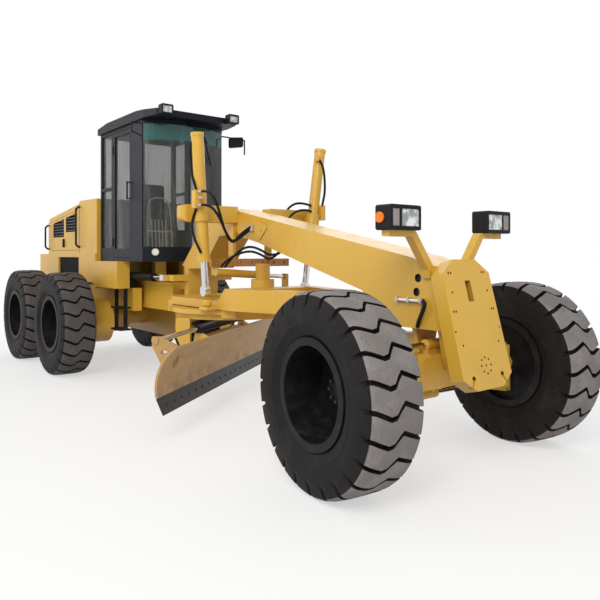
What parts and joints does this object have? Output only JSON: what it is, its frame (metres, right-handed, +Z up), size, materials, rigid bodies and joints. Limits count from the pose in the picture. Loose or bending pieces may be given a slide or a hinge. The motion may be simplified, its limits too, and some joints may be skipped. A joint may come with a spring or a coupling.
{
  "type": "motor grader",
  "caption": "Articulated motor grader with a gooseneck front frame, a turning blade on a drawbar and circle, leaning and steering front wheels, tandem rear wheels and an enclosed cab.",
  "frame": {"origin": "on the ground under the middle of the machine", "axes": "+X forward, +Y to the machine's left, +Z up; machine level on its wheels, frame straight"},
  "size_m": [8.7618, 3.0458, 3.34],
  "materials": {
    "yellow_paint": "warm yellow paint, a little worn",
    "black_paint": "black satin paint",
    "tyre": "black rubber, dusty in the tread",
    "glass": "clear",
    "blade_steel": "scoured steel with dried earth",
    "edge_steel": "dark steel, scuffed",
    "chrome": "polished",
    "cast_iron": "plain",
    "lamp": "black housing",
    "cloth": "dark cloth",
    "black_plastic": "matte"
  },
  "bodies": {
    "rear_frame": {"rear_frame": "yellow_paint", "tandem_axle": "yellow_paint", "rear_body": "yellow_paint", "hood": "yellow_paint", "engine_block": "cast_iron", "side_boxes": "yellow_paint", "steps_and_rails": "black_paint", "cab_frame": "black_paint", "cab_glass": "glass", "cab_roof": "black_paint", "seat": "cloth", "console": "black_plastic", "roof_lamps": "lamp", "mirrors": "black_plastic", "articulation_tubes": "black_paint"},
    "front_frame": {"front_frame": "yellow_paint", "counterweight": "yellow_paint", "headlamps": "lamp", "lift_arms": "yellow_paint", "front_axle": "yellow_paint", "centre_shift_tube": "black_paint"},
    "drawbar_ball": {"drawbar_ball": "cast_iron"},
    "drawbar": {"drawbar": "yellow_paint"},
    "circle": {"circle": "yellow_paint"},
    "blade_carrier": {"blade_carrier": "yellow_paint", "side_shift_tube": "black_paint"},
    "moldboard": {"moldboard": "blade_steel", "cutting_edge": "edge_steel", "side_shift_rod": "chrome"},
    "centre_shift_rod": {"centre_shift_rod": "chrome"},
    "steering_rod": {"steering_rod": "chrome"},
    "lean_bar": {"lean_bar": "chrome"},
    "articulation_rod_right": {"articulation_rod_right": "chrome"},
    "mid_wheel_right": {"mid_wheel_right_rim": "black_paint", "mid_wheel_right_tyre": "tyre"},
    "rear_wheel_right": {"rear_wheel_right_rim": "black_paint", "rear_wheel_right_tyre": "tyre"},
    "hood_door_right": {"hood_door_right": "yellow_paint"},
    "cab_door_right": {"cab_door_right": "black_paint", "door_glass_right": "glass"},
    "lean_yoke_right": {"lean_yoke_right": "yellow_paint"},
    "knuckle_right": {"knuckle_right": "yellow_paint"},
    "front_wheel_right": {"front_wheel_right_rim": "black_paint", "front_wheel_right_tyre": "tyre"},
    "articulation_rod_left": {"articulation_rod_left": "chrome"},
    "mid_wheel_left": {"mid_wheel_left_rim": "black_paint", "mid_wheel_left_tyre": "tyre"},
    "rear_wheel_left": {"rear_wheel_left_rim": "black_paint", "rear_wheel_left_tyre": "tyre"},
    "hood_door_left": {"hood_door_left": "yellow_paint"},
    "cab_door_left": {"cab_door_left": "black_paint", "door_glass_left": "glass"},
    "lean_yoke_left": {"lean_yoke_left": "yellow_paint"},
    "knuckle_left": {"knuckle_left": "yellow_paint"},
    "front_wheel_left": {"front_wheel_left_rim": "black_paint", "front_wheel_left_tyre": "tyre"},
    "lift_tube_right": {"lift_tube_right": "black_paint"},
    "lift_rod_right": {"lift_rod_right": "chrome"},
    "lift_tube_left": {"lift_tube_left": "black_paint"},
    "lift_rod_left": {"lift_rod_left": "chrome"}
  },
  "joints": [
    {"name": "articulation", "type": "hinge", "parent": "rear_frame", "child": "front_frame", "pos_m": [-0.11091, 0, 1.055], "axis": [0, 0, 1], "range_deg": [-25, 25]},
    {"name": "articulation_rod_right_slide", "type": "slide", "parent": "rear_frame", "child": "articulation_rod_right", "axis": [1, 0, 0], "range_m": [-0.18, 0.18]},
    {"name": "mid_wheel_right_spin", "type": "hinge", "parent": "rear_frame", "child": "mid_wheel_right", "pos_m": [-1.77091, -1.04, 0.675], "axis": [0, 1, 0], "continuous": true},
    {"name": "rear_wheel_right_spin", "type": "hinge", "parent": "rear_frame", "child": "rear_wheel_right", "pos_m": [-3.43091, -1.04, 0.675], "axis": [0, 1, 0], "continuous": true},
    {"name": "hood_door_right_hinge", "type": "hinge", "parent": "rear_frame", "child": "hood_door_right", "pos_m": [-2.50091, -0.6, 2.245], "axis": [0.9936, 0, 0.1131], "range_deg": [-75, 0]},
    {"name": "cab_door_right_hinge", "type": "hinge", "parent": "rear_frame", "child": "cab_door_right", "pos_m": [-1.28091, -0.56, 2.3], "axis": [0, 0, 1], "range_deg": [-85, 0]},
    {"name": "lean_right", "type": "hinge", "parent": "front_frame", "child": "lean_yoke_right", "pos_m": [3.66909, -0.64, 0.64], "axis": [1, 0, 0], "range_deg": [-17, 17]},
    {"name": "steer_right", "type": "hinge", "parent": "lean_yoke_right", "child": "knuckle_right", "pos_m": [3.66909, -0.797, 0.64], "axis": [0, 0, 1], "range_deg": [-39.1, 50.9]},
    {"name": "front_wheel_right_spin", "type": "hinge", "parent": "knuckle_right", "child": "front_wheel_right", "pos_m": [3.64411, -1.03871, 0.675], "axis": [0.1028, 0.9947, 0], "continuous": true},
    {"name": "articulation_rod_left_slide", "type": "slide", "parent": "rear_frame", "child": "articulation_rod_left", "axis": [1, 0, 0], "range_m": [-0.18, 0.18]},
    {"name": "mid_wheel_left_spin", "type": "hinge", "parent": "rear_frame", "child": "mid_wheel_left", "pos_m": [-1.77091, 1.04, 0.675], "axis": [0, 1, 0], "continuous": true},
    {"name": "rear_wheel_left_spin", "type": "hinge", "parent": "rear_frame", "child": "rear_wheel_left", "pos_m": [-3.43091, 1.04, 0.675], "axis": [0, 1, 0], "continuous": true},
    {"name": "hood_door_left_hinge", "type": "hinge", "parent": "rear_frame", "child": "hood_door_left", "pos_m": [-2.50091, 0.6, 2.245], "axis": [0.9936, 0, 0.1131], "range_deg": [0, 75]},
    {"name": "cab_door_left_hinge", "type": "hinge", "parent": "rear_frame", "child": "cab_door_left", "pos_m": [-1.28091, 0.56, 2.3], "axis": [0, 0, 1], "range_deg": [0, 85]},
    {"name": "lean_left", "type": "hinge", "parent": "front_frame", "child": "lean_yoke_left", "pos_m": [3.66909, 0.64, 0.64], "axis": [1, 0, 0], "range_deg": [-17, 17]},
    {"name": "steer_left", "type": "hinge", "parent": "lean_yoke_left", "child": "knuckle_left", "pos_m": [3.66909, 0.797, 0.64], "axis": [0, 0, 1], "range_deg": [-39.1, 50.9]},
    {"name": "front_wheel_left_spin", "type": "hinge", "parent": "knuckle_left", "child": "front_wheel_left", "pos_m": [3.69407, 1.03871, 0.675], "axis": [0.1028, 0.9947, 0], "continuous": true},
    {"name": "steering_rod_slide", "type": "slide", "parent": "front_frame", "child": "steering_rod", "axis": [0, 1, 0], "range_m": [-0.16, 0.13]},
    {"name": "lean_bar_slide", "type": "slide", "parent": "front_frame", "child": "lean_bar", "axis": [0, 1, 0], "range_m": [-0.08, 0.08]},
    {"name": "drawbar_swing", "type": "hinge", "parent": "front_frame", "child": "drawbar_ball", "pos_m": [3.30909, 0, 0.86], "axis": [0, 0, 1], "range_deg": [-7.5, 5.5]},
    {"name": "drawbar_lift", "type": "hinge", "parent": "drawbar_ball", "child": "drawbar", "pos_m": [3.30909, 0, 0.86], "axis": [-0.0185, 0.9998, 0], "range_deg": [-18.5, 4.5]},
    {"name": "lift_tube_right_tilt", "type": "hinge", "parent": "front_frame", "child": "lift_tube_right", "pos_m": [1.30909, -0.71, 1.975], "axis": [1, 0, 0], "range_deg": [-18, 18]},
    {"name": "lift_rod_right_slide", "type": "slide", "parent": "lift_tube_right", "child": "lift_rod_right", "axis": [0, -0.0606, 0.9982], "range_m": [-0.66, 0.17]},
    {"name": "lift_tube_left_tilt", "type": "hinge", "parent": "front_frame", "child": "lift_tube_left", "pos_m": [1.30909, 0.71, 1.975], "axis": [1, 0, 0], "range_deg": [-18, 18]},
    {"name": "lift_rod_left_slide", "type": "slide", "parent": "lift_tube_left", "child": "lift_rod_left", "axis": [0, 0.1438, 0.9896], "range_m": [-0.66, 0.17]},
    {"name": "centre_shift_slide", "type": "slide", "parent": "front_frame", "child": "centre_shift_rod", "axis": [0, 0.9975, -0.0704], "range_m": [-0.24, 0.28]},
    {"name": "circle_turn", "type": "hinge", "parent": "drawbar", "child": "circle", "pos_m": [0.86951, -0.04514, 0.975], "axis": [0, 0, 1], "continuous": true},
    {"name": "blade_pitch", "type": "hinge", "parent": "circle", "child": "blade_carrier", "pos_m": [0.70978, -0.1655, 0.43], "axis": [-0.6018, 0.7986, 0], "range_deg": [-6, 36]},
    {"name": "blade_side_shift", "type": "slide", "parent": "blade_carrier", "child": "moldboard", "axis": [-0.6018, 0.7986, 0], "range_m": [-0.5, 0.5]}
  ],
  "couplings": [
    {"joint": "articulation_rod_right_slide", "follows": "articulation", "m_per_rad": 0.4},
    {"joint": "articulation_rod_left_slide", "follows": "articulation", "m_per_rad": -0.4},
    {"joint": "steer_right", "follows": "steer_left", "ratio": 1},
    {"joint": "lean_right", "follows": "lean_left", "ratio": 1},
    {"joint": "steering_rod_slide", "follows": "steer_left", "m_per_rad": -0.1656},
    {"joint": "lean_bar_slide", "follows": "lean_left", "m_per_rad": -0.26103},
    {"joint": "lift_tube_right_tilt", "follows": "drawbar_swing", "ratio": -2.24},
    {"joint": "lift_rod_right_slide", "follows": "drawbar_lift", "m_per_rad": 2},
    {"joint": "lift_tube_left_tilt", "follows": "drawbar_swing", "ratio": -2.24},
    {"joint": "lift_rod_left_slide", "follows": "drawbar_lift", "m_per_rad": 2},
    {"joint": "centre_shift_slide", "follows": "drawbar_swing", "m_per_rad": -2.115}
  ]
}
